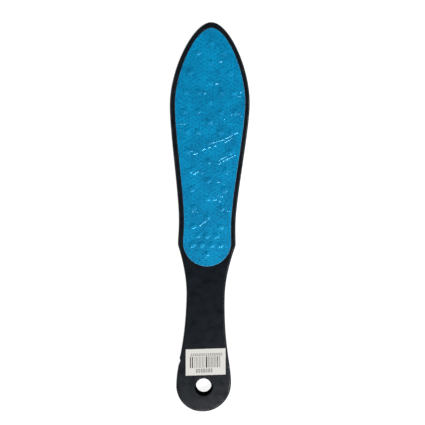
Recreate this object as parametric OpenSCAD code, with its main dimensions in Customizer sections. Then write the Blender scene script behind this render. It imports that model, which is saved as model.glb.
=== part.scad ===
// Two-sided foot file: a moulded paddle with an abrasive plate let into each face.
// It lies on its rear face. The tip points to +Y and the coarse face looks to +Z.

/* [Overall] */
// Length from the tip to the end of the handle
file_l = 260; // [240:5:285]
// Thickness of the moulded body
body_t = 6; // [5:0.5:8]
// Radius that rounds the edges of the body
edge_r = 1.5; // [1:0.25:2]

/* [Blade] */
// Width of the blade at its widest place
blade_w = 53.6; // [48.6:0.5:60.6]
// Distance from the tip to the widest place
widest_at = 54.7; // [48.2:0.5:62.2]
// Width of the blade at its waist
waist_w = 38.1; // [34.1:0.5:40.1]
// Distance from the tip to the waist
waist_at = 134.5; // [126:0.5:138]
// Width of the blade at its shoulder
shoulder_w = 38.8; // [34.8:0.5:42.8]
// Distance from the tip to the shoulder, where the blade turns into the handle
shoulder_at = 148.6; // [144.6:0.5:154.6]

/* [Handle] */
// Width of the handle at its neck
neck_w = 25.8; // [20.8:0.5:30.8]
// Distance from the tip to the neck
neck_at = 183.3; // [175.3:1:192.3]
// Width of the handle near its end, which is half a circle
end_w = 36.8; // [32.8:0.5:40.8]

/* [Hanging hole] */
// Diameter of the hanging hole
hole_d = 10.4; // [7.9:0.5:13.9]
// Distance from the centre of the hole to the end of the handle
hole_from_end = 17; // [13:0.5:20]
// Radius that rounds both rims of the hole
hole_edge_r = 1.2; // [0.5:0.1:1.6]

/* [Plates] */
// Width of the rim that the body keeps round each plate
rim_w = 3.1; // [2:0.05:4]
// Gap between a plate and the wall of its pocket
plate_gap = 0.25; // [0.1:0.05:0.5]
// Thickness of a plate over its teeth
plate_t = 0.5; // [0.3:0.05:0.8]
// Thickness of the adhesive under a plate
adhesive_t = 0.2; // [0.1:0.05:0.3]
// How far the adhesive stays back from the edge of its plate
adhesive_back = 0.5; // [0.2:0.1:1.5]
// How far above the shoulder the round lower end of a plate begins
plate_round_back = 1.6; // [0:0.2:3]
// How much wider the rim is at the tip
tip_rim_extra = 0.9; // [0:0.1:2]
// Distance from the tip of a plate over which its rim takes its normal width
tip_rim_run = 12; // [6:1:20]

/* [Protective film] */
// Thickness of the clear film over a plate
film_t = 0.1; // [0.05:0.05:0.2]
// How far the film stays back from the edge of its plate
film_back = 0.3; // [0.1:0.1:1]

/* [Domes of the coarse plate] */
// Diameter of a dome at its foot
dome_d = 4.4; // [3.8:0.2:6]
// Height of a dome over the plate
dome_h = 0.6; // [0.3:0.05:0.8]
// Distance from the tip to the first dome of the middle column
first_dome_at = 14.1; // [12.7:0.2:15.7]
// Distance from the last dome of the middle column to the lower end of the plate
last_dome_back = 8.4; // [7:0.2:12]

/* [Price label] */
// Length of the label across the handle
label_l = 26.5; // [22.1:0.2:28.1]
// Width of the label along the handle
label_w = 17.4; // [12:0.1:19]
// Thickness of the label
label_t = 0.1; // [0.05:0.05:0.2]
// Distance from the centre of the label to the end of the handle
label_from_end = 33.6; // [31.6:0.5:36.6]
// How far the label sits to the right of the middle
label_side = 1; // [0:0.1:2]
// Angle by which the label was stuck askew
label_turn = 3; // [-5:0.5:5]

/* [Hidden] */

// Curve handles, each a share of the width or of the length of its own stretch
tip_share = 0.455;
blade_upper_share = 0.435;
blade_bulge_share = 0.235;
waist_above_share = 0.225;
waist_below_share = 0.57;
shoulder_above_share = 0.385;
shoulder_below_share = 0.04;
neck_above_share = 0.505;
neck_below_share = 0.57;
handle_swell_share = 0.22;

// Steps of each stretch of the outline, and of the rounded edge
tip_steps = 18;
waist_steps = 12;
shoulder_steps = 4;
neck_steps = 10;
swell_steps = 10;
arc_steps = 9;
edge_steps = 4;

// The middle column of domes has a wider pitch above than below
upper_gaps = 6;
lower_gaps = 5;
upper_column_share = 0.563;
// Domes beside the column, one row for each of its gaps, as shares of the plate's half width
side_dome_share = [[0.54], [0.66], [0.33, 0.695], [0.33, 0.72], [0.325, 0.675], [0.69],
    [0.62], [0.62], [0.585], [0.58], [0.21, 0.59]];
// One more pair stands beside the last dome but one
low_pair_row = 10;
low_pair_share = 0.385;

dome_facets = 48;
round_facets = 96;

blade_hw = blade_w/2;
waist_hw = waist_w/2;
shoulder_hw = shoulder_w/2;
neck_hw = neck_w/2;
end_r = end_w/2;
end_at = file_l - end_r;
pocket_depth = adhesive_t + plate_t + film_t;
pocket_overrun = body_t;
plate_z = body_t - film_t - plate_t;
dome_ball_r = (dome_d*dome_d/4 + dome_h*dome_h)/(2*dome_h);
dome_ball_drop = dome_ball_r - dome_h;

// One stretch of the outline. A point holds the half width and the distance from the tip
function stretch(a, b, c, d, steps) = [for (i = [0:steps - 1]) let (t = i/steps)
    pow(1 - t, 3)*a + 3*pow(1 - t, 2)*t*b + 3*(1 - t)*t*t*c + pow(t, 3)*d];

half_outline = concat(
    stretch([0, 0], [tip_share*blade_hw, 0],
        [blade_hw, widest_at*(1 - blade_upper_share)], [blade_hw, widest_at], tip_steps),
    stretch([blade_hw, widest_at],
        [blade_hw, widest_at + blade_bulge_share*(waist_at - widest_at)],
        [waist_hw, waist_at - waist_above_share*(waist_at - widest_at)],
        [waist_hw, waist_at], waist_steps),
    stretch([waist_hw, waist_at],
        [waist_hw, waist_at + waist_below_share*(shoulder_at - waist_at)],
        [shoulder_hw, shoulder_at - shoulder_above_share*(shoulder_at - waist_at)],
        [shoulder_hw, shoulder_at], shoulder_steps),
    stretch([shoulder_hw, shoulder_at],
        [shoulder_hw, shoulder_at + shoulder_below_share*(neck_at - shoulder_at)],
        [neck_hw, neck_at - neck_above_share*(neck_at - shoulder_at)],
        [neck_hw, neck_at], neck_steps),
    stretch([neck_hw, neck_at],
        [neck_hw, neck_at + neck_below_share*(end_at - neck_at)],
        [end_r, end_at - handle_swell_share*(end_at - neck_at)],
        [end_r, end_at], swell_steps),
    [for (i = [0:arc_steps]) let (a = 90*i/arc_steps)
        [end_r*cos(a), end_at + end_r*sin(a)]]);

half_width_by_distance = [for (p = half_outline) [p[1], p[0]]];
last_point = len(half_outline) - 1;

function y_at(distance) = file_l/2 - distance;

// The whole outline, anticlockwise as seen from the front, from the end of the handle
body_outline = concat(
    [for (i = [last_point:-1:0]) [half_outline[i][0], y_at(half_outline[i][1])]],
    [for (i = [1:last_point - 1]) [-half_outline[i][0], y_at(half_outline[i][1])]]);

// Moves each point of a closed outline inwards, square to its neighbours
function inset(points, by) = [for (i = [0:len(points) - 1])
    let (run = points[(i + 1) % len(points)] - points[(i + len(points) - 1) % len(points)])
    points[i] - by*[run[1], -run[0]]/norm(run)];

plate_round_at = shoulder_at - plate_round_back;
plate_round_y = y_at(plate_round_at);

function blade_half_width(distance) = lookup(distance, half_width_by_distance);

// Lowers the points near the tip of a plate, which is blunter than the body's own
function blunted(p, back) =
    let (left = max(1 - (y_at(back) - p[1])/tip_rim_run, 0))
    [p[0], p[1] - tip_rim_extra*left*left];

// The outline of a plate: the blade's own, moved in, closed by half a circle
function plate_outline(back) =
    let (r = blade_half_width(plate_round_at) - back)
    concat([for (p = inset(body_outline, back)) if (p[1] > plate_round_y) blunted(p, back)],
        [for (i = [0:2*arc_steps]) let (a = 180 + 90*i/arc_steps)
            [r*cos(a), plate_round_y + r*sin(a)]]);

plate_back = rim_w + plate_gap;
plate_end_at = plate_round_at + blade_half_width(plate_round_at) - plate_back;
column_l = plate_end_at - last_dome_back - first_dome_at;
upper_pitch = column_l*upper_column_share/upper_gaps;
lower_pitch = column_l*(1 - upper_column_share)/lower_gaps;

// Distance from the tip to a row of domes. Half a row is midway between two of the column
function row_at(row) = first_dome_at + min(row, upper_gaps)*upper_pitch
    + max(row - upper_gaps, 0)*lower_pitch;

function side_place(row, share) =
    [share*(blade_half_width(min(row_at(row), plate_round_at)) - plate_back), y_at(row_at(row))];

right_domes = concat(
    [for (i = [0:len(side_dome_share) - 1]) for (share = side_dome_share[i])
        side_place(i + 1/2, share)],
    [side_place(low_pair_row, low_pair_share)]);

dome_places = concat(
    [for (row = [0:upper_gaps + lower_gaps]) [0, y_at(row_at(row))]],
    right_domes,
    [for (p = right_domes) [-p[0], p[1]]]);

// Heights and insets of the rings that make the rounded edge, from the rear face up
lower_rings = [for (i = [0:edge_steps]) let (a = 90*i/edge_steps)
    [edge_r*(1 - cos(a)), edge_r*(1 - sin(a))]];
upper_rings = [for (i = [edge_steps:-1:0])
    [body_t - lower_rings[i][0], lower_rings[i][1]]];
rings = concat(lower_rings, upper_rings);

// The blank has walls between its rings, and two faces of strips that run from side to side
module rounded_blank() {
    n = len(body_outline);
    points = [for (ring = rings) for (p = inset(body_outline, ring[1]))
        [p[0], p[1], ring[0]]];
    walls = [for (k = [0:len(rings) - 2]) for (i = [0:n - 1])
        let (j = (i + 1) % n)
        [k*n + i, (k + 1)*n + i, (k + 1)*n + j, k*n + j]];
    rear = concat(
        [[0, 1, n - 1]],
        [for (i = [1:last_point - 2]) [i, i + 1, n - i - 1, n - i]],
        [[last_point - 1, last_point, last_point + 1]]);
    top = (len(rings) - 1)*n;
    front = [for (strip = rear) [for (k = [len(strip) - 1:-1:0]) strip[k] + top]];
    polyhedron(points = points, faces = concat(walls, rear, front), convexity = 4);
}

// A sheet cut to the outline of a plate
module sheet(back, thickness) {
    linear_extrude(thickness) polygon(plate_outline(back));
}

// The hole's own profile, half of it, flared by the rounded rims at both faces
hole_rim = [for (i = [0:edge_steps]) let (a = 90*i/edge_steps)
    [hole_d/2 + hole_edge_r*(1 - cos(a)), hole_edge_r*(1 - sin(a))]];
hole_flare_r = hole_d/2 + hole_edge_r;
hole_profile = concat(
    [[0, -pocket_overrun], [hole_flare_r, -pocket_overrun]],
    [for (i = [edge_steps:-1:0]) hole_rim[i]],
    [for (i = [0:edge_steps]) [hole_rim[i][0], body_t - hole_rim[i][1]]],
    [[hole_flare_r, body_t + pocket_overrun], [0, body_t + pocket_overrun]]);

module hanging_hole() {
    translate([0, y_at(file_l - hole_from_end), 0])
        rotate_extrude($fn = round_facets)
            polygon(hole_profile);
}

// Caps of balls whose centres lie below the plate, one on each dome's place
module dome_caps(ball_r, above) {
    for (p = dome_places)
        translate([p[0], p[1], body_t - film_t - dome_ball_drop])
            intersection() {
                sphere(r = ball_r, $fn = dome_facets);
                translate([0, 0, dome_ball_drop - above])
                    cylinder(h = above + ball_r, d = 2*dome_d, $fn = dome_facets);
            }
}

module handle_body() {
    color("#1b1f23")
        difference() {
            rounded_blank();
            translate([0, 0, body_t - pocket_depth])
                sheet(rim_w, pocket_depth + pocket_overrun);
            translate([0, 0, -pocket_overrun])
                sheet(rim_w, pocket_depth + pocket_overrun);
            hanging_hole();
        }
}

module coarse_plate() {
    color("#0e83b2")
        difference() {
            union() {
                translate([0, 0, plate_z])
                    sheet(plate_back, plate_t);
                dome_caps(dome_ball_r, plate_t/2);
            }
            dome_caps(dome_ball_r - plate_t, 2*plate_t);
        }
}

module coarse_plate_adhesive() {
    color("#d8d2c0")
        translate([0, 0, body_t - pocket_depth])
            sheet(plate_back + adhesive_back, adhesive_t);
}

module coarse_plate_film() {
    color("#cfe6f0", 0.4)
        difference() {
            union() {
                translate([0, 0, body_t - film_t])
                    sheet(plate_back + film_back, film_t);
                dome_caps(dome_ball_r + film_t, 0);
            }
            dome_caps(dome_ball_r, plate_t);
        }
}

module fine_plate() {
    color("#0e83b2")
        translate([0, 0, film_t])
            sheet(plate_back, plate_t);
}

module fine_plate_adhesive() {
    color("#d8d2c0")
        translate([0, 0, film_t + plate_t])
            sheet(plate_back + adhesive_back, adhesive_t);
}

module fine_plate_film() {
    color("#cfe6f0", 0.4)
        sheet(plate_back + film_back, film_t);
}

module price_label() {
    color("#e1dfd9")
        translate([label_side, y_at(file_l - label_from_end), body_t])
            rotate([0, 0, label_turn])
                translate([-label_l/2, -label_w/2, 0])
                    cube([label_l, label_w, label_t]);
}

handle_body();
coarse_plate();
coarse_plate_adhesive();
coarse_plate_film();
fine_plate();
fine_plate_adhesive();
fine_plate_film();
price_label();
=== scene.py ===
import math
import random
from bisect import bisect_right

import bmesh
import bpy
from mathutils import Matrix, Vector, geometry, kdtree, noise


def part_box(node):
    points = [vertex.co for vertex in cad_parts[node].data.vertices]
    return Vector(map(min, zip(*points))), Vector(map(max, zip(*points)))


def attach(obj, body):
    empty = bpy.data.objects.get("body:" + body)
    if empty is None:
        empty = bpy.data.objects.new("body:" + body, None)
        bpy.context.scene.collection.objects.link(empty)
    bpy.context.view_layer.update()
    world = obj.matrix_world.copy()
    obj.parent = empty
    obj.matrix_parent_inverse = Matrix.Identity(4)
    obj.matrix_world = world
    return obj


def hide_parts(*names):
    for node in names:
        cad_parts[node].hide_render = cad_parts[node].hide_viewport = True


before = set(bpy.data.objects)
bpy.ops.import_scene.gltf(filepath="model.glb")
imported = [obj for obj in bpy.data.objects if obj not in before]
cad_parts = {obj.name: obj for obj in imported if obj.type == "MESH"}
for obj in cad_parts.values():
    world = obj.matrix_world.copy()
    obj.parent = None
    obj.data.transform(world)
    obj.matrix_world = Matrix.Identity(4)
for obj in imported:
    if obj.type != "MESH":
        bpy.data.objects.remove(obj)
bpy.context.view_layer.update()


# Paddle: one injection moulding in black ABS, with a pocket in each face and a hanging hole.
# The halves of the mould meet in a fine raised line round the edge. The gate was cut off the
# left edge of the handle with a knife, which left a small bite there.
MM = 0.001
body_low, body_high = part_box("handle_body")
body_t = body_high.z - body_low.z
file_l = body_high.y - body_low.y
blade_hw = body_high.x
widest_at = 54.7 * MM
waist_hw = 19.05 * MM
waist_at = 134.5 * MM
shoulder_hw = 19.4 * MM
shoulder_at = 148.6 * MM
neck_hw = 12.9 * MM
neck_at = 183.3 * MM
end_r = 18.4 * MM
end_at = file_l - end_r
end_lean = 0.45 * MM
end_fuller = 0.3 * MM
outline_gap = 0.5 * MM
curve_steps = 200

# Handles of the outline's curves. A pair is shares of its stretch, at its start and its end.
# The first curve leaves the tip sideways, and its second handle is measured from the tip
tip_pull = 0.455
widest_pull_at = 0.565
blade_pulls = (0.235, 0.225)
shoulder_pulls = (0.57, 0.385)
neck_pulls = (0.04, 0.505)
swell_pulls = (0.57, 0.22)

edge_r = 1.5 * MM
edge_steps = 7
draft = 0.08 * MM
seam_half_height = 0.12 * MM
hole_r = 5.2 * MM
hole_edge_r = 1.2 * MM
hole_y = body_low.y + 17 * MM
hole_steps = 96
# Within this radius of the hole's middle the paddle takes the bore's painted shade
shaded_bore_r = hole_r + 0.75 * hole_edge_r
rim_w = 3.1 * MM
rim_edge_r = 0.2 * MM
rim_edge_steps = 3
pocket_depth = 0.8 * MM
pocket_right = 0.2 * MM
tip_rim_extra = 0.9 * MM
tip_rim_run = 12 * MM
plate_round_at = shoulder_at - 1.6 * MM
plate_round_y = body_high.y - plate_round_at
arc_steps = 48
weld = 0.001 * MM

# The bite: distance from the tip, and how far the knife went in. Less than nothing is a burr
gate_cut = [
    (223 * MM, 0), (224.1 * MM, -0.18 * MM), (225 * MM, -0.1 * MM), (225.7 * MM, 0.75 * MM),
    (226.4 * MM, 0.8 * MM), (228.2 * MM, 0.45 * MM), (229.7 * MM, 0),
]


def stretch(start, first, second, end):
    """One stretch of the half outline, as (half width, distance from the tip)."""
    knots = [Vector((*p, 0)) for p in (start, first, second, end)]
    return [p.xy for p in geometry.interpolate_bezier(*knots, curve_steps)][:-1]


def long_stretch(start, end, pulls):
    """A stretch that starts and ends straight along the file."""
    run = end[1] - start[1]
    first = (start[0], start[1] + pulls[0] * run)
    second = (end[0], end[1] - pulls[1] * run)
    return stretch(start, first, second, end)


def even(points, gap):
    """The same line with its points a steady distance apart."""
    total = sum((b - a).length for a, b in zip(points, points[1:]))
    count = round(total / gap)
    step = total / count
    found, passed, wanted = [points[0]], 0.0, step
    for a, b in zip(points, points[1:]):
        length = (b - a).length
        while passed + length >= wanted and len(found) < count:
            found.append(a.lerp(b, (wanted - passed) / length))
            wanted += step
        passed += length
    return found + [points[-1]]


widest = (blade_hw, widest_at)
waist = (waist_hw, waist_at)
shoulder = (shoulder_hw, shoulder_at)
neck = (neck_hw, neck_at)
swell = (end_r, end_at)
half_outline = even(
    stretch((0, 0), (tip_pull * blade_hw, 0), (blade_hw, widest_pull_at * widest_at), widest)
    + long_stretch(widest, waist, blade_pulls)
    + long_stretch(waist, shoulder, shoulder_pulls)
    + long_stretch(shoulder, neck, neck_pulls)
    + long_stretch(neck, swell, swell_pulls)
    + [Vector((end_r * math.cos(a), end_at + end_r * math.sin(a)))
       for a in (math.radians(d) for d in range(91))],
    outline_gap,
)
right_side = [Vector((p.x, body_high.y - p.y)) for p in reversed(half_outline)]
left_side = [Vector((-p.x, p.y)) for p in reversed(right_side[1:-1])]
outline = right_side + left_side

# The rounded end leans a little to the left and is a little fuller on that side
for p in outline:
    down = max((body_low.y + end_r - p.y) / end_r, 0)
    left = max(-p.x / end_r, 0)
    fuller = 2 * end_fuller * left * down
    p.x -= end_lean * down + fuller * left
    p.y = max(p.y - fuller * down, body_low.y)
outward = []
for i, p in enumerate(outline):
    run = (outline[(i + 1) % len(outline)] - outline[i - 1]).normalized()
    outward.append(Vector((run.y, -run.x)))


def between(pairs, x):
    """Reads a value off a line of (x, value) points. Past its ends the value is nothing."""
    i = bisect_right(pairs, (x, math.inf))
    if i == 0 or i == len(pairs):
        return 0.0
    (x0, v0), (x1, v1) = pairs[i - 1], pairs[i]
    return v0 + (v1 - v0) * (x - x0) / (x1 - x0)


width_by_y = [(p.y, p.x) for p in right_side]


def half_width(y):
    """Half the width of the paddle at that y, without the end's lean."""
    return between(width_by_y, y)


def paddle_ring(back):
    """The outline moved in by that much, with the knife's bite in the left edge."""
    ring = []
    for p, n in zip(outline, outward):
        cut = between(gate_cut, body_high.y - p.y) if p.x < 0 else 0.0
        burr = min(cut, 0) * max(0, 1 - back / edge_r)
        ring.append(p - n * (max(back, cut) + burr))
    return ring


blade_points = [i for i, p in enumerate(outline) if p.y > plate_round_y + outline_gap / 2]
plate_arc_r = half_width(plate_round_y)


def plate_ring(back):
    """The outline of a plate: the blade's own, moved in, closed by half a circle. Its tip is
    blunter than the blade's, and all of it lies a little to the right, as in its pocket."""
    ring = []
    for p in (outline[i] - outward[i] * back for i in blade_points):
        near_tip = max(1 - (body_high.y - back - p.y) / tip_rim_run, 0)
        ring.append(Vector((p.x + pocket_right, p.y - tip_rim_extra * near_tip ** 2)))
    r = plate_arc_r - back
    turn = [math.pi * (1 + i / arc_steps) for i in range(arc_steps + 1)]
    return ring + [Vector((pocket_right + r * math.cos(a), plate_round_y + r * math.sin(a)))
                   for a in turn]


def draw_ring(bm, points, z):
    verts = [bm.verts.new((p.x, p.y, z)) for p in points]
    return [bm.edges.new((a, b)) for a, b in zip(verts, verts[1:] + verts[:1])]


def draw_walls(bm, rings):
    """Draws each ring and joins it to the one before."""
    drawn = [draw_ring(bm, points, z) for points, z in rings]
    for a, b in zip(drawn, drawn[1:]):
        bmesh.ops.bridge_loops(bm, edges=a + b)


def fill(bm, z):
    """Closes the flat face that lies between the open edges at one height."""
    edges = [e for e in bm.edges if len(e.link_faces) < 2
             and all(abs(v.co.z - z) < weld for v in e.verts)]
    bmesh.ops.triangle_fill(bm, use_beauty=True, edges=edges)


def quarter(steps):
    """Points round a quarter circle, as how far back and how far up, in shares of its radius."""
    turn = [math.pi / 2 * i / steps for i in range(steps + 1)]
    return [(1 - math.sin(a), 1 - math.cos(a)) for a in turn]


def turn_round(bm, side, middle, steps):
    """Turns a side, given as radii and heights, into a round wall about a point."""
    x, y = middle
    verts = [bm.verts.new((x + r, y, z)) for r, z in side]
    edges = [bm.edges.new((a, b)) for a, b in zip(verts, verts[1:])]
    bmesh.ops.spin(bm, geom=verts + edges, cent=(x, y, 0), axis=(0, 0, 1), angle=2 * math.pi,
                   steps=steps, use_merge=True)


def finish_piece(name, bm, materials, nodes=(), smooth_under=30):
    """Makes the mesh an object that rides on the body and stands for its CAD nodes."""
    bmesh.ops.remove_doubles(bm, verts=bm.verts, dist=weld)
    bmesh.ops.recalc_face_normals(bm, faces=bm.faces)
    mesh = bpy.data.meshes.new(name)
    bm.to_mesh(mesh)
    bm.free()
    mesh.shade_smooth()
    mesh.set_sharp_from_angle(angle=math.radians(smooth_under))
    for material in materials:
        mesh.materials.append(material)
    piece = bpy.data.objects.new(name, mesh)
    bpy.context.scene.collection.objects.link(piece)
    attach(piece, "root")
    if nodes:
        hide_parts(*nodes)
    return piece


def add(tree, kind, inputs=None, **settings):
    """Adds a shader node with its settings, and links or sets its inputs."""
    made = tree.nodes.new(kind)
    for name, value in settings.items():
        setattr(made, name, value)
    for name, value in (inputs or {}).items():
        if isinstance(value, bpy.types.NodeSocket):
            tree.links.new(value, made.inputs[name])
        else:
            made.inputs[name].default_value = value
    return made


def linear(hex_colour):
    """An sRGB colour, such as 1b1f23, as the linear values that shaders take."""
    shares = [int(hex_colour[i:i + 2], 16) / 255 for i in (0, 2, 4)]
    return [*(s / 12.92 if s <= 0.04045 else ((s + 0.055) / 1.055) ** 2.4 for s in shares), 1]


def new_material(name):
    """An empty material, with its tree, its output and the object's own coordinates."""
    material = bpy.data.materials.new(name)
    material.use_nodes = True
    tree = material.node_tree
    tree.nodes.clear()
    output = add(tree, "ShaderNodeOutputMaterial")
    place = add(tree, "ShaderNodeTexCoord").outputs["Object"]
    return material, tree, output, place


# A noise stays near the middle of its range. A node with these values stretches that part
middle_part = {"From Min": 0.3, "From Max": 0.7}

# Black ABS, moulded against a spark-eroded tool: matt, with a soft sheen and faint rub marks.
# The real grain is about 0.05 mm. It is drawn at 0.3 mm, so that it shows in a close view.
abs_black, tree, output, place = new_material("abs_spark_eroded_black")
rub = add(tree, "ShaderNodeTexNoise", {
    "Vector": place, "Scale": 1 / (5 * MM), "Detail": 5.0}).outputs["Fac"]
rubbed = add(tree, "ShaderNodeMapRange", {"Value": rub, **middle_part})
black = add(tree, "ShaderNodeMix", {
    "Factor": rubbed.outputs["Result"], "A": linear("0f141a"), "B": linear("191f26")},
    data_type="RGBA")
mattness = add(tree, "ShaderNodeMapRange", {
    "Value": rub, **middle_part, "To Min": 0.31, "To Max": 0.23})
sheen = add(tree, "ShaderNodeMapRange", {
    "Value": rub, **middle_part, "To Min": 0.085, "To Max": 0.28})
grain = add(tree, "ShaderNodeTexNoise", {"Vector": place, "Scale": 1 / (0.3 * MM)})
grain_bump = add(tree, "ShaderNodeBump", {
    "Height": grain.outputs["Fac"], "Strength": 0.3, "Distance": 0.01 * MM})
abs_skin = add(tree, "ShaderNodeBsdfPrincipled", {
    "Base Color": black.outputs["Result"],
    "Roughness": mattness.outputs["Result"],
    "IOR": 1.53,
    "Specular IOR Level": sheen.outputs["Result"],
    "Normal": grain_bump.outputs["Normal"]})
tree.links.new(abs_skin.outputs["BSDF"], output.inputs["Surface"])

# The bore's wall has its own black, darker and rougher than the paddle's and throwing no light
# back: painted shade in the hanging hole.
bore_painted_shade, tree, output, place = new_material("abs_bore_black_painted_shade")
scuff = add(tree, "ShaderNodeTexNoise", {
    "Vector": place, "Scale": 1 / (1 * MM), "Detail": 3.0})
scuffed = add(tree, "ShaderNodeMapRange", {"Value": scuff.outputs["Fac"], **middle_part})
bore_shade_black = add(tree, "ShaderNodeMix", {
    "Factor": scuffed.outputs["Result"], "A": linear("0a0b0d"), "B": linear("101114")},
    data_type="RGBA")
bore_shade_skin = add(tree, "ShaderNodeBsdfPrincipled", {
    "Base Color": bore_shade_black.outputs["Result"],
    "Roughness": 0.9,
    "Specular IOR Level": 0.0})
tree.links.new(bore_shade_skin.outputs["BSDF"], output.inputs["Surface"])

seam_z = body_t / 2
under_rings = [(draft + (edge_r - draft) * back, edge_r * up) for back, up in quarter(edge_steps)]
seam_rings = [(draft / 2, seam_z - seam_half_height), (0, seam_z),
              (draft / 2, seam_z + seam_half_height)]
top_rings = [(back, body_t - z) for back, z in reversed(under_rings)]
pocket_rings = [(rim_w - rim_edge_r * back, rim_edge_r * up)
                for back, up in quarter(rim_edge_steps)]
pocket_rings.append((rim_w, pocket_depth))
bore_side = [(hole_r + hole_edge_r * back, hole_edge_r * up) for back, up in quarter(edge_steps)]
bore_side.append((hole_r, seam_z - seam_half_height))
bore_side += [(hole_r - draft, seam_z)] + [(r, body_t - z) for r, z in reversed(bore_side)]

bm = bmesh.new()
draw_walls(bm, [(paddle_ring(back), z) for back, z in under_rings + seam_rings + top_rings])
draw_walls(bm, [(plate_ring(back), body_t - z) for back, z in pocket_rings])
draw_walls(bm, [(plate_ring(back), z) for back, z in pocket_rings])
turn_round(bm, bore_side, (0, hole_y), hole_steps)
bore_middle = Vector((0, hole_y))
# The faces round the bore take the painted shade
for face in bm.faces:
    if (face.calc_center_median().xy - bore_middle).length < shaded_bore_r:
        face.material_index = 1
for z in (0, body_t, pocket_depth, body_t - pocket_depth):
    fill(bm, z)
paddle = finish_piece("paddle", bm, [abs_black, bore_painted_shade], ["handle_body"])
paddle.modifiers.new("Even shading", "WEIGHTED_NORMAL").keep_sharp = True


# Adhesive: a layer of pale acrylic tape under each plate, cut a little smaller than it.
# The CAD solids have its shape. It shows only where the gap round a plate lets light in.
acrylic_tape, tree, output, place = new_material("acrylic_tape_cut")
bubbles = add(tree, "ShaderNodeTexNoise", {
    "Vector": place, "Scale": 1 / (1.5 * MM)}).outputs["Fac"]
bubbled = add(tree, "ShaderNodeMapRange", {"Value": bubbles, **middle_part})
cream = add(tree, "ShaderNodeMix", {
    "Factor": bubbled.outputs["Result"], "A": linear("cfc8b4"), "B": linear("ded8c8")},
    data_type="RGBA")
tape_bump = add(tree, "ShaderNodeBump", {
    "Height": bubbles, "Strength": 0.3, "Distance": 0.03 * MM})
tape = add(tree, "ShaderNodeBsdfPrincipled", {
    "Base Color": cream.outputs["Result"],
    "Roughness": 0.55,
    "IOR": 1.48,
    "Normal": tape_bump.outputs["Normal"]})
tree.links.new(tape.outputs["BSDF"], output.inputs["Surface"])
for name in ("coarse_plate_adhesive", "fine_plate_adhesive"):
    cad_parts[name].data.materials.clear()
    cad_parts[name].data.materials.append(acrylic_tape)


# Coarse plate: steel sheet, stamped to the blade's outline, pressed into 44 hollow domes,
# cut into small pointed teeth in staggered rows, and coated blue. The domes stand in a middle
# column with a pair or two beside each of its gaps.
coarse_low, coarse_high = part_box("coarse_plate")
plate_gap = 0.25 * MM
plate_back = rim_w + plate_gap
plate_t = 0.5 * MM
plate_edge_r = 0.15 * MM
plate_edge_steps = 3
tooth_h = 0.1 * MM
tooth_inset = 0.15
tooth_margin = 0.5 * MM
coarse_gaps = (2.276 * MM, 1.32 * MM)
coarse_cells = 160
sheet_t = plate_t - tooth_h
dome_r = 2.2 * MM
dome_h = coarse_high.z - coarse_low.z - plate_t
dome_ball_r = (dome_r ** 2 + dome_h ** 2) / (2 * dome_h)
dome_fillet_r = 0.8 * MM
dome_steps = 24
dome_side_steps = 4
first_dome_at = 14.1 * MM
last_dome_back = 8.4 * MM
upper_gaps = 6
lower_gaps = 5
upper_share = 0.563
side_dome_shares = [
    [0.54], [0.66], [0.33, 0.695], [0.33, 0.72], [0.325, 0.675], [0.69],
    [0.62], [0.62], [0.585], [0.58], [0.21, 0.59],
]
low_pair_row = 10
low_pair_share = 0.385

plate_end_at = plate_round_at + plate_arc_r - plate_back
column_l = plate_end_at - last_dome_back - first_dome_at


def dome_row(row):
    """The y of a row of domes. Half a row is midway between two of the middle column."""
    upper = min(row, upper_gaps) * column_l * upper_share / upper_gaps
    lower = max(row - upper_gaps, 0) * column_l * (1 - upper_share) / lower_gaps
    return body_high.y - first_dome_at - upper - lower


def side_dome(row, share):
    """The place of a dome beside the middle column, at a share of the plate's half width."""
    y = dome_row(row)
    return share * (half_width(max(y, plate_round_y)) - plate_back), y


side_domes = [side_dome(i + 0.5, s) for i, row in enumerate(side_dome_shares) for s in row]
side_domes.append(side_dome(low_pair_row, low_pair_share))
domes = [(0, dome_row(row)) for row in range(upper_gaps + lower_gaps + 1)]
domes += [(side * x, y) for x, y in side_domes for side in (1, -1)]


def near_points(places):
    """A tree that finds the nearest of some places, each of which starts with x and y."""
    found = kdtree.KDTree(len(places))
    for i, p in enumerate(places):
        found.insert((p[0], p[1], 0), i)
    found.balance()
    return found


near_dome = near_points(domes)


def dome_rise(v, ball_r, fillet_r):
    """How high a dome lifts a sheet at a vertex. The dome is part of a ball with a hollow
    fillet at its foot."""
    r = near_dome.find((v.co.x, v.co.y, 0))[2]
    drop = ball_r - dome_h
    reach = math.sqrt((ball_r + fillet_r) ** 2 - (drop + fillet_r) ** 2)
    if r >= reach:
        return 0.0
    if r > reach * ball_r / (ball_r + fillet_r):
        return fillet_r - math.sqrt(fillet_r ** 2 - (reach - r) ** 2)
    return math.sqrt(ball_r ** 2 - r ** 2) - drop


plate_edge = plate_ring(plate_back)
near_edge = near_points(plate_edge)


def room_at(x, y, back):
    """How far a place lies inside the plate's outline moved in by that much."""
    _, i, _ = near_edge.find((x, y, 0))
    run = plate_edge[(i + 1) % len(plate_edge)] - plate_edge[i - 1]
    off = Vector((x, y)) - plate_edge[i]
    return (off.y * run.x - off.x * run.y) / run.length - (back - plate_back)


plate_middle = Vector((0, (body_high.y + plate_round_y - plate_arc_r) / 2, 0))


def draw_lattice(bm, cells, shape, back):
    """That many cells each way over a plate, kept where they lie inside its outline. The shape
    is what turns and stretches squares of 1 m into them."""
    place = Matrix.Translation(plate_middle) @ shape
    bmesh.ops.create_grid(bm, x_segments=cells, y_segments=cells, size=cells / 2, matrix=place)
    outside = [v for v in bm.verts if room_at(v.co.x, v.co.y, back) < 0]
    bmesh.ops.delete(bm, geom=outside, context="VERTS")
    bmesh.ops.delete(bm, geom=[v for v in bm.verts if not v.link_faces], context="VERTS")


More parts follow.
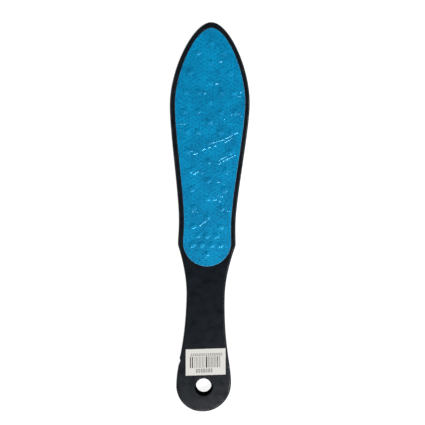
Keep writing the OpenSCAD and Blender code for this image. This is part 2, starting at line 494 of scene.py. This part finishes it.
def draw_plate(bm, cells, gaps, rise):
    """A toothed plate that lies on z = 0 and faces up, with its underside left open. Its cells
    are diamonds as wide and high as the gaps, and every fourth of them has a tooth."""
    shape = (Matrix.Diagonal((gaps[0] / math.sqrt(2), gaps[1] / math.sqrt(2), 1, 1))
             @ Matrix.Rotation(math.pi / 4, 4, "Z"))
    draw_lattice(bm, cells, shape, plate_back + tooth_margin)
    unshape = (Matrix.Translation(plate_middle) @ shape).inverted()
    diamonds = bm.faces[:]
    bmesh.ops.inset_individual(bm, faces=diamonds, thickness=tooth_inset * gaps[1])
    teeth = set()
    for v in bmesh.ops.poke(bm, faces=diamonds)["verts"]:
        row, column = (math.floor(a) for a in (unshape @ v.co).xy)
        if row % 2 == 0 and column % 2 == 0:
            teeth.add(v)
            for face in v.link_faces:
                face.material_index = 1
    for v in bm.verts:
        v.co.z = sheet_t + rise(v) + (tooth_h if v in teeth else 0)
    edge = [(plate_ring(plate_back + plate_edge_r * back), sheet_t - plate_edge_r * down)
            for down, back in quarter(plate_edge_steps)]
    coated = len(bm.faces)
    draw_walls(bm, [(plate_ring(plate_back), 0)] + edge)
    for face in bm.faces[coated:]:
        face.material_index = 2
    fill(bm, sheet_t)


# Blue coating on steel: a thin tinted lacquer that lets a little of the metal's glance through.
# Its tone drifts a little over about a centimetre, and by single lumps of about 1 mm.
blue_coat, tree, output, place = new_material("blue_lacquered_steel")
drift = add(tree, "ShaderNodeTexNoise", {
    "Vector": place, "Scale": 1 / (9 * MM), "Detail": 3.0})
drifted = add(tree, "ShaderNodeMapRange", {"Value": drift.outputs["Fac"], **middle_part})
drift_blue = add(tree, "ShaderNodeMix", {
    "Factor": drifted.outputs["Result"], "A": linear("0079aa"), "B": linear("00abe0")},
    data_type="RGBA")
lumps = add(tree, "ShaderNodeTexNoise", {
    "Vector": place, "Scale": 1 / (1.2 * MM)}).outputs["Fac"]
lumped = add(tree, "ShaderNodeMapRange", {"Value": lumps, **middle_part})
lump_blue = add(tree, "ShaderNodeMix", {
    "Factor": lumped.outputs["Result"], "A": linear("00699c"), "B": linear("00b4e8")},
    data_type="RGBA")
blue = add(tree, "ShaderNodeMix", {
    "Factor": 0.5, "A": drift_blue.outputs["Result"], "B": lump_blue.outputs["Result"]},
    data_type="RGBA")
mattness = add(tree, "ShaderNodeMapRange", {
    "Value": lumps, **middle_part, "To Min": 0.5, "To Max": 0.62})
orange_peel = add(tree, "ShaderNodeTexNoise", {"Vector": place, "Scale": 1 / (0.12 * MM)})
coat_bump = add(tree, "ShaderNodeBump", {
    "Height": orange_peel.outputs["Fac"], "Strength": 0.3, "Distance": 0.01 * MM})
coat = add(tree, "ShaderNodeBsdfPrincipled", {
    "Base Color": blue.outputs["Result"],
    "Metallic": 0.06,
    "Roughness": mattness.outputs["Result"],
    "IOR": 1.45,
    "Specular IOR Level": 0.16,
    "Normal": coat_bump.outputs["Normal"]})
tree.links.new(coat.outputs["BSDF"], output.inputs["Surface"])

# The points of the teeth take a darker blue than the rest of the coat, with a little more of the
# metal's glance.
darker_tooth_coat, tree, output, place = new_material("blue_coat_darker_on_teeth")
tooth_tone = add(tree, "ShaderNodeTexNoise", {
    "Vector": place, "Scale": 1 / (1.2 * MM)}).outputs["Fac"]
tooth_toned = add(tree, "ShaderNodeMapRange", {"Value": tooth_tone, **middle_part})
tooth_blue = add(tree, "ShaderNodeMix", {
    "Factor": tooth_toned.outputs["Result"], "A": linear("00729f"), "B": linear("0095c5")},
    data_type="RGBA")
mattness = add(tree, "ShaderNodeMapRange", {
    "Value": tooth_tone, **middle_part, "To Min": 0.45, "To Max": 0.58})
tooth_coat = add(tree, "ShaderNodeBsdfPrincipled", {
    "Base Color": tooth_blue.outputs["Result"],
    "Metallic": 0.12,
    "Roughness": mattness.outputs["Result"],
    "IOR": 1.45,
    "Specular IOR Level": 0.16})
tree.links.new(tooth_coat.outputs["BSDF"], output.inputs["Surface"])

# The plates were stamped from coated sheet, so their cut edge is bare and has dulled.
bare_steel, tree, output, place = new_material("stamped_steel_edge")
shear = add(tree, "ShaderNodeTexNoise", {
    "Vector": place, "Scale": 1 / (0.5 * MM)}).outputs["Fac"]
sheared = add(tree, "ShaderNodeMapRange", {"Value": shear, **middle_part})
dull_grey = add(tree, "ShaderNodeMix", {
    "Factor": sheared.outputs["Result"], "A": linear("666e6c"), "B": linear("808886")},
    data_type="RGBA")
mattness = add(tree, "ShaderNodeMapRange", {
    "Value": shear, **middle_part, "To Min": 0.45, "To Max": 0.6})
cut_edge = add(tree, "ShaderNodeBsdfPrincipled", {
    "Base Color": dull_grey.outputs["Result"],
    "Metallic": 0.5,
    "Roughness": mattness.outputs["Result"]})
tree.links.new(cut_edge.outputs["BSDF"], output.inputs["Surface"])

bm = bmesh.new()
draw_plate(bm, coarse_cells, coarse_gaps,
           lambda v: dome_rise(v, dome_ball_r - tooth_h, dome_fillet_r))
cavity_r = dome_ball_r - plate_t
cavity_drop = cavity_r - dome_h
cavity_mouth_r = math.sqrt(cavity_r ** 2 - cavity_drop ** 2)
cavity_side = [(r, math.sqrt(cavity_r ** 2 - r ** 2) - cavity_drop)
               for r in (cavity_mouth_r * i / dome_side_steps for i in range(dome_side_steps + 1))]
cavities = bmesh.new()
for middle in domes:
    turn_round(cavities, cavity_side, middle, dome_steps)
cavity_mesh = bpy.data.meshes.new("cavities")
cavities.to_mesh(cavity_mesh)
cavities.free()
bm.from_mesh(cavity_mesh)
fill(bm, 0)
bmesh.ops.translate(bm, verts=bm.verts, vec=(0, 0, coarse_low.z))
finish_piece("coarse_plate_sheet", bm, [blue_coat, darker_tooth_coat, bare_steel],
             ["coarse_plate"], smooth_under=12)


# Coarse plate's film: clear polyethylene, cut a little smaller than the plate and stuck over
# it for the sale. It is stretched over the domes like a tent and has creased and blistered.
film_low, film_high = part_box("coarse_plate_film")
film_t = 0.04 * MM
film_back = plate_back + 0.3 * MM
film_fillet_r = 3 * MM
film_margin = 0.35 * MM
film_cell = 1 * MM
film_cells = 180
tent_reach = 3.4 * MM
crease_reach = 1.2 * MM
crease_near_reach = 0.5 * MM
crease_gap = 0.1 * MM
wave_l = 4 * MM
film_wave_h = 0.04 * MM
wave_margin = 1 * MM

# Creases and blisters: half width, height, and places as x and distance from the tip, in mm.
# Each is drawn with straight sides, like a tent. Most heights give those sides the slope that
# throws the key lamp's light at the camera
coarse_creases = [
    (0.65, 0.13, [(1.0, 9.8), (0.9, 12.8)]),
    (0.78, 0.43, [(-8.6, 21.3), (-7.0, 21.1)]),
    (0.65, 0.35, [(5.4, 26.9), (7.4, 26.7)]),
    (1.05, 0.52, [(3.7, 41.5), (5.3, 41.2)]),
    (0.95, 0.46, [(-3.9, 47.8)]),
    (0.59, 0.27, [(20.0, 47.1), (21.7, 46.5)]),
    (0.59, 0.28, [(18.0, 49.7), (19.9, 49.4)]),
    (0.80, 0.37, [(-7.4, 61.4)]),
    (0.85, 0.38, [(9.4, 64.4)]),
    (0.65, 0.28, [(20.5, 62.6), (22.0, 62.1)]),
    (0.52, 0.24, [(13.9, 61.6), (20.0, 61.3)]),
    (0.52, 0.25, [(-21.1, 68.5), (-16.1, 68.5)]),
    (0.59, 0.27, [(0.5, 67.7), (1.6, 67.0), (2.7, 67.5), (4.0, 68.5), (4.6, 67.7)]),
    (0.85, 0.37, [(-7.3, 74.5)]),
    (0.72, 0.30, [(-0.1, 81.7), (2.9, 80.4), (6.2, 79.4), (10.5, 78.1), (13.9, 76.1), (16.2, 74.9),
                  (18.5, 73.5)]),
    (0.65, 0.27, [(10.3, 80.3), (12.6, 79.0), (15.1, 77.4)]),
    (0.78, 0.32, [(-4.3, 85.4), (-2.0, 84.5)]),
    (1.00, 0.41, [(-0.4, 84.0), (0.6, 83.4)]),
    (0.78, 0.32, [(3.7, 82.7), (4.7, 82.2)]),
    (0.65, 0.27, [(-11.9, 86.7), (-11.1, 86.4), (-10.9, 85.6)]),
    (0.78, 0.32, [(-10.3, 88.6), (-9.0, 88.2), (-7.6, 87.4)]),
    (0.65, 0.25, [(6.5, 92.5), (9.2, 90.9), (11.8, 89.4)]),
    (0.59, 0.23, [(6.8, 94.7), (9.5, 92.7), (12.5, 91.2), (15.8, 89.4), (18.3, 88.3)]),
    (0.59, 0.22, [(11.7, 100.5), (13.1, 99.7), (14.3, 99.5)]),
    (0.85, 0.33, [(-9.7, 101.6), (-8.1, 100.4), (-6.3, 99.9), (-4.0, 100.9)]),
    (0.78, 0.30, [(6.2, 106.5), (7.9, 106.6), (10.2, 107.8)]),
    (0.72, 0.31, [(4.8, 114.5), (6.8, 115.5)]),
    (0.59, 0.21, [(10.3, 113.4), (12.1, 113.1)]),
    (0.78, 0.27, [(8.4, 116.4), (9.6, 116.1)]),
    (0.78, 0.27, [(3.8, 118.7), (5.7, 118.3)]),
    (0.65, 0.22, [(8.0, 119.4), (8.5, 119.0)]),
    (0.80, 0.27, [(-10.0, 126.4), (-9.0, 126.2)]),
    (0.59, 0.24, [(-8.4, 126.2), (-6.6, 126.9)]),
    (0.70, 0.23, [(9.0, 126.0), (10.0, 125.9)]),
    (0.52, 0.17, [(12.6, 125.8), (15.2, 125.7)]),
    (0.59, 0.19, [(0.2, 131.5), (-2.2, 133.8), (-5.2, 135.9)]),
]


def crease_points(creases):
    """Points along the creases, as x, y, half width and height."""
    found = []
    for half, height, line in creases:
        path = [Vector((x * MM, body_high.y - at * MM)) for x, at in line]
        if len(path) > 1:
            path = even(path, crease_gap)
        found += [(p.x, p.y, half * MM, height * MM) for p in path]
    return found


def halve_cells(bm, wanted):
    """Halves the edges of the faces whose middle is wanted."""
    edges = {e for f in bm.faces if wanted(f.calc_center_median()) for e in f.edges}
    bmesh.ops.subdivide_edges(bm, edges=list(edges), cuts=1, use_grid_fill=True)


def thicken(bm, t):
    """Makes a closed layer of an open sheet, with a copy of it moved up."""
    top = bmesh.ops.extrude_face_region(bm, geom=bm.faces[:], use_keep_orig=True)["geom"]
    top = [v for v in top if isinstance(v, bmesh.types.BMVert)]
    bmesh.ops.translate(bm, verts=top, vec=(0, 0, t))


def draw_film(bm, creases, rise, from_rise, wave_h, room):
    """A closed sheet of film that lies on z = 0, lifted by what is under it and creased. Its
    cells are finer near what lifts it, and its underside stays below the room given. An
    attribute says where it has come loose from the plate."""
    loose = bm.verts.layers.float.new("loose")
    points = crease_points(creases)
    near_crease = near_points(points)

    def crease_near(spot, reach):
        _, i, away = near_crease.find((spot.x, spot.y, 0))
        return away < points[i][2] + reach

    draw_lattice(bm, film_cells, Matrix.Scale(film_cell, 4), film_back + film_margin)
    halve_cells(bm, lambda c: from_rise(c) < tent_reach or crease_near(c, crease_reach))
    halve_cells(bm, lambda c: from_rise(c) < dome_r or crease_near(c, crease_near_reach))
    halve_cells(bm, lambda c: crease_near(c, 0))
    for v in bm.verts:
        _, i, away = near_crease.find((v.co.x, v.co.y, 0))
        share = min(away / points[i][2], 1)
        v[loose] = float(share < 1)
        calm = min(max(room_at(v.co.x, v.co.y, film_back) / wave_margin - 1, 0), 1)
        wave = wave_h * calm * (1 + noise.noise(v.co / wave_l)) / 2
        v.co.z = min(rise(v) + wave + points[i][3] * (1 - share), room)
    for e in [e for e in bm.edges if e.is_boundary]:
        for v in e.verts:
            v.co.z = 0
    draw_ring(bm, plate_ring(film_back), 0)
    fill(bm, 0)
    thicken(bm, film_t)


# Polyethylene film, cast clear and glossy. It is drawn as what passes straight through and
# what it throws back, more where it is seen edge on. Head on that is 4 in 100 at each of its
# faces where it is loose. Where it clings to the plate only its upper face throws light back,
# which the two faces share here. It is tinted, because much of it comes from the blue coat.
# The stretch of the middle part keeps the border between loose and clinging film sharp.
clear_film, tree, output, place = new_material("polyethylene_film_clear")
loose = add(tree, "ShaderNodeAttribute", attribute_name="loose").outputs["Fac"]
loosened = add(tree, "ShaderNodeMapRange", {"Value": loose, **middle_part})
head_on = add(tree, "ShaderNodeMapRange", {
    "Value": loose, **middle_part, "To Min": 0.02, "To Max": 0.04})
edge_on = add(tree, "ShaderNodeLayerWeight", {"Blend": 0.5})
glance = add(tree, "ShaderNodeMath", {0: edge_on.outputs["Facing"], 1: 5.0}, operation="POWER")
mirrored = add(tree, "ShaderNodeMath", {
    0: glance.outputs[0], 1: 0.96, 2: head_on.outputs["Result"]}, operation="MULTIPLY_ADD")
tint = add(tree, "ShaderNodeMix", {
    "Factor": loosened.outputs["Result"], "A": linear("4aafc2"), "B": linear("66acc8")},
    data_type="RGBA")
haze = add(tree, "ShaderNodeTexNoise", {"Vector": place, "Scale": 1 / (2.5 * MM)})
mattness = add(tree, "ShaderNodeMapRange", {
    "Value": haze.outputs["Fac"], **middle_part, "To Min": 0.1, "To Max": 0.2})
through = add(tree, "ShaderNodeBsdfTransparent", {"Color": linear("fdfeff")})
gloss = add(tree, "ShaderNodeBsdfGlossy", {
    "Color": tint.outputs["Result"], "Roughness": mattness.outputs["Result"]})
film_skin = add(tree, "ShaderNodeMixShader", {
    "Fac": mirrored.outputs[0], 1: through.outputs["BSDF"], 2: gloss.outputs["BSDF"]})
tree.links.new(film_skin.outputs["Shader"], output.inputs["Surface"])

bm = bmesh.new()
draw_film(bm, coarse_creases, lambda v: dome_rise(v, dome_ball_r, film_fillet_r),
          lambda c: near_dome.find((c.x, c.y, 0))[2], film_wave_h,
          film_high.z - film_low.z - film_t)
bmesh.ops.translate(bm, verts=bm.verts, vec=(0, 0, film_low.z))
finish_piece("coarse_plate_cover", bm, [clear_film], ["coarse_plate_film"],
             smooth_under=60)


# Fine plate: the same steel sheet on the rear, stamped and coated alike but left flat. Its
# teeth are half as wide and half as far apart.
fine_low, fine_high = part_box("fine_plate")
fine_gaps = (1.138 * MM, 0.66 * MM)
fine_cells = 316

bm = bmesh.new()
draw_plate(bm, fine_cells, fine_gaps, lambda v: 0)
fill(bm, 0)
bmesh.ops.scale(bm, verts=bm.verts, vec=(1, 1, -1))
bmesh.ops.translate(bm, verts=bm.verts, vec=(0, 0, fine_high.z))
finish_piece("fine_plate_sheet", bm, [blue_coat, darker_tooth_coat, bare_steel],
             ["fine_plate"], smooth_under=22)


# Fine plate's film: clear polyethylene as on the front, stuck over the rear plate for the
# sale. It lies flat, with a few creases of its own.
fine_film_low, fine_film_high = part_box("fine_plate_film")
fine_wave_h = 0.008 * MM

# Creases as in the front film's table: how many, and between which limits each is drawn
crease_count = 22
crease_xs = (-13, 13)
crease_ats = (25, 150)
crease_headings = (-0.6, 0.6)
crease_ls = (0, 1.5, 4, 8)
crease_halves = (0.2, 0.35)
crease_bend = 0.3
crease_slope = 0.15
chance = random.Random(4)
fine_creases = []
for i in range(crease_count):
    x = chance.uniform(*crease_xs)
    at = chance.uniform(*crease_ats)
    heading = chance.uniform(*crease_headings)
    length = chance.choice(crease_ls)
    half = chance.uniform(*crease_halves)
    line = [(x, at)]
    if length:
        line = [(x + length * t * math.cos(heading),
                 at + length * t * math.sin(heading + crease_bend * t)) for t in (0, 0.5, 1)]
    fine_creases.append((half, crease_slope * half, line))

bm = bmesh.new()
draw_film(bm, fine_creases, lambda v: 0, lambda c: math.inf, fine_wave_h,
          fine_film_high.z - fine_film_low.z - film_t)
bmesh.ops.scale(bm, verts=bm.verts, vec=(1, 1, -1))
bmesh.ops.translate(bm, verts=bm.verts, vec=(0, 0, fine_film_high.z))
finish_piece("fine_plate_cover", bm, [clear_film], ["fine_plate_film"],
             smooth_under=60)


# Price label: a paper sticker, put on by hand across the handle a little askew. One corner
# runs over the rounded edge and bends down with it.
label_low, label_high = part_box("price_label")
label_l = 26.5 * MM
label_w = 17.4 * MM
label_t = label_high.z - label_low.z
label_turn = math.radians(3)
label_skew = math.radians(1.7)
label_cell = 0.5 * MM
label_bend = 0.95 * edge_r

label_middle = (label_low + label_high) / 2
askew = Matrix.Identity(4)
askew[0][1] = math.tan(label_skew)
label_place = (Matrix.Translation((label_middle.x, label_middle.y, 0))
               @ Matrix.Rotation(label_turn, 4, "Z") @ askew)


def edge_drop(x, y):
    """How far the rounded edge of the handle lies below its flat face there."""
    past = edge_r - (half_width(y) - abs(x))
    return edge_r - math.sqrt(edge_r ** 2 - min(past, label_bend) ** 2) if past > 0 else 0.0


# Uncoated label paper, off-white and matt, with faint fibres about 0.6 mm apart.
label_paper, tree, output, place = new_material("uncoated_label_paper")
fibres = add(tree, "ShaderNodeTexNoise", {
    "Vector": place, "Scale": 1 / (0.6 * MM), "Detail": 4.0}).outputs["Fac"]
fibred = add(tree, "ShaderNodeMapRange", {"Value": fibres, **middle_part})
off_white = add(tree, "ShaderNodeMix", {
    "Factor": fibred.outputs["Result"], "A": linear("e5e3dd"), "B": linear("edebe6")},
    data_type="RGBA")
fibre_bump = add(tree, "ShaderNodeBump", {
    "Height": fibres, "Strength": 0.4, "Distance": 0.015 * MM})
paper = add(tree, "ShaderNodeBsdfPrincipled", {
    "Base Color": off_white.outputs["Result"],
    "Roughness": 0.8,
    "IOR": 1.5,
    "Specular IOR Level": 0.3,
    "Normal": fibre_bump.outputs["Normal"]})
tree.links.new(paper.outputs["BSDF"], output.inputs["Surface"])

bm = bmesh.new()
bmesh.ops.create_grid(bm, x_segments=round(label_l / label_cell),
                      y_segments=round(label_w / label_cell), size=0.5)
bmesh.ops.scale(bm, verts=bm.verts, vec=(label_l, label_w, 1))
bmesh.ops.transform(bm, verts=bm.verts, matrix=label_place)
for v in bm.verts:
    v.co.z = label_low.z - edge_drop(v.co.x, v.co.y)
thicken(bm, label_t)
finish_piece("label_sheet", bm, [label_paper], ["price_label"])


# The label's print: thermal black, a row of plain bars between two rows of empty boxes.
# It carries no code and no characters.
ink_t = 0.012 * MM
bar_count = 30
bar_gap = 0.672 * MM
bar_l = 7.4 * MM
bar_ws = (0.21 * MM, 0.15 * MM, 0.09 * MM)
later_bars_wider = 0.06 * MM
wide_bars = {0: 0.62 * MM, 2: 0.68 * MM, 16: 0.92 * MM, 27: 0.5 * MM, 29: 0.36 * MM}
bars_left_out = (1, 3, 15, 17, 28)
bars_right = -0.37 * MM
bars_up = -0.05 * MM
mark_half_share = 0.22
upper_marks = 15
upper_mark_gap = 1.42 * MM
upper_mark_h = 1.6 * MM
upper_mark_line = 0.22 * MM
upper_marks_right = 0.5 * MM
upper_marks_up = 4.9 * MM
lower_marks = 7
lower_mark_gap = 1.62 * MM
lower_mark_h = 2.4 * MM
lower_mark_line = 0.3 * MM
lower_marks_right = -1.0 * MM
lower_marks_up = -5.7 * MM


def print_bar(bm, right, up, width, height):
    """A printed stroke, as a very thin block on the label."""
    size = Matrix.Diagonal((width, height, ink_t, 1))
    where = Matrix.Translation((right, up, label_high.z + ink_t / 2))
    bmesh.ops.create_cube(bm, size=1, matrix=label_place @ where @ size)


def print_marks(bm, count, gap, height, line, middle, up):
    """A row of small empty boxes, drawn with lines that wide."""
    for i in range(count):
        right = middle + (i - (count - 1) / 2) * gap
        half = mark_half_share * gap
        for side in (-1, 1):
            print_bar(bm, right + side * half, up, line, height)
            print_bar(bm, right, up + side * (height - line) / 2, 2 * half, line)


# Thermal print: the paper's own coating, turned brown-black by the heat of the printer.
print_black, tree, output, place = new_material("thermal_print_black")
heat = add(tree, "ShaderNodeTexNoise", {"Vector": place, "Scale": 1 / (0.4 * MM)})
heated = add(tree, "ShaderNodeMapRange", {"Value": heat.outputs["Fac"], **middle_part})
brown_black = add(tree, "ShaderNodeMix", {
    "Factor": heated.outputs["Result"], "A": linear("1a1619"), "B": linear("2c272a")},
    data_type="RGBA")
ink = add(tree, "ShaderNodeBsdfPrincipled", {
    "Base Color": brown_black.outputs["Result"],
    "Roughness": 0.7,
    "IOR": 1.5,
    "Specular IOR Level": 0.3})
tree.links.new(ink.outputs["BSDF"], output.inputs["Surface"])

bm = bmesh.new()
for i in range(bar_count):
    if i in bars_left_out:
        continue
    width = wide_bars.get(i, bar_ws[i % 3] + (later_bars_wider if i > bar_count / 2 else 0))
    print_bar(bm, bars_right + (i - (bar_count - 1) / 2) * bar_gap, bars_up, width, bar_l)
print_marks(bm, upper_marks, upper_mark_gap, upper_mark_h, upper_mark_line,
            upper_marks_right, upper_marks_up)
print_marks(bm, lower_marks, lower_mark_gap, lower_mark_h, lower_mark_line,
            lower_marks_right, lower_marks_up)
finish_piece("label_print", bm, [print_black])


# Stage: a plain white floor with a pale backdrop behind it, soft lamps, and a camera straight
# above the middle of the file.
floor_half = 3
floor_drop = 0.02 * MM

# Each lamp: its place in metres, its width and height, and its watts. All face the origin
lamps = [
    ("key", (0.65, -1.6, 2.4), 3.2, 0.3, 84),
    ("fill_left", (-1.0, 0.25, 0.55), 0.6, 0.6, 1.8),
    ("fill_right", (1.0, 0.25, 0.55), 0.6, 0.6, 4.2),
]


def seen_directly(tree):
    """1 for the camera, mirrors and glass, and nothing for the light that falls on the file."""
    seen = add(tree, "ShaderNodeLightPath").outputs
    direct = add(tree, "ShaderNodeMath", {
        0: seen["Is Camera Ray"], 1: seen["Is Glossy Ray"]}, operation="MAXIMUM")
    return add(tree, "ShaderNodeMath", {
        0: direct.outputs[0], 1: seen["Is Transmission Ray"]}, operation="MAXIMUM").outputs[0]


white_card, tree, output, place = new_material("white_card")
glow = add(tree, "ShaderNodeMath", {0: seen_directly(tree), 1: 0.9}, operation="MULTIPLY")
card = add(tree, "ShaderNodeBsdfPrincipled", {
    "Base Color": linear("a0a0a0"),
    "Roughness": 0.9,
    "Specular IOR Level": 0.0,
    "Emission Color": (1, 1, 1, 1),
    "Emission Strength": glow.outputs[0]})
tree.links.new(card.outputs["BSDF"], output.inputs["Surface"])

bm = bmesh.new()
bmesh.ops.create_grid(bm, x_segments=1, y_segments=1, size=floor_half,
                      matrix=Matrix.Translation((0, 0, -floor_drop)))
floor_mesh = bpy.data.meshes.new("floor")
bm.to_mesh(floor_mesh)
bm.free()
floor_mesh.materials.append(white_card)
floor = bpy.data.objects.new("floor", floor_mesh)
bpy.context.scene.collection.objects.link(floor)

for name, spot, width, height, power in lamps:
    light = bpy.data.lights.new(name, "AREA")
    light.shape = "RECTANGLE"
    light.size = width
    light.size_y = height
    light.energy = power
    lamp = bpy.data.objects.new(name, light)
    lamp.location = spot
    lamp.rotation_euler = (-Vector(spot)).to_track_quat("-Z", "Y").to_euler()
    bpy.context.scene.collection.objects.link(lamp)

# The backdrop is white up to 24 degrees above the floor, the sine of which is 0.4, and has
# faded at 33 degrees
world = bpy.data.worlds.new("studio")
world.use_nodes = True
tree = world.node_tree
tree.nodes.clear()
way = add(tree, "ShaderNodeTexCoord").outputs["Generated"]
upward = add(tree, "ShaderNodeSeparateXYZ", {"Vector": way})
low_down = add(tree, "ShaderNodeMapRange", {
    "Value": upward.outputs["Z"], "From Min": 0.54, "From Max": 0.4, "To Max": 0.96})
backdrop = add(tree, "ShaderNodeMath", {
    0: seen_directly(tree), 1: low_down.outputs["Result"], 2: 0.04}, operation="MULTIPLY_ADD")
air = add(tree, "ShaderNodeBackground", {
    "Color": (1, 1, 1, 1), "Strength": backdrop.outputs[0]})
output = add(tree, "ShaderNodeOutputWorld")
tree.links.new(air.outputs["Background"], output.inputs["Surface"])
bpy.context.scene.world = world

# The scale in the picture was measured at the outline, which lies at the silhouette's height
sensor_mm = 36
image_px = 425
mm_per_px = 0.6677
camera_height = 305 * MM
silhouette_z = 4.5 * MM
camera_roll = math.radians(1.25)
centre_right = 3.45 * MM
centre_up = 2.87 * MM
near_clip = 10 * MM
camera_data = bpy.data.cameras.new("camera")
camera_data.sensor_width = sensor_mm
camera_data.lens = sensor_mm * (camera_height - silhouette_z) / (image_px * mm_per_px * MM)
camera_data.clip_start = near_clip
camera = bpy.data.objects.new("camera", camera_data)
centre = Matrix.Rotation(camera_roll, 2) @ Vector((centre_right, centre_up))
camera.location = (centre.x, centre.y, camera_height)
camera.rotation_euler = (0, 0, camera_roll)
bpy.context.scene.collection.objects.link(camera)
bpy.context.scene.camera = camera
bpy.context.scene.view_settings.view_transform = "Standard"
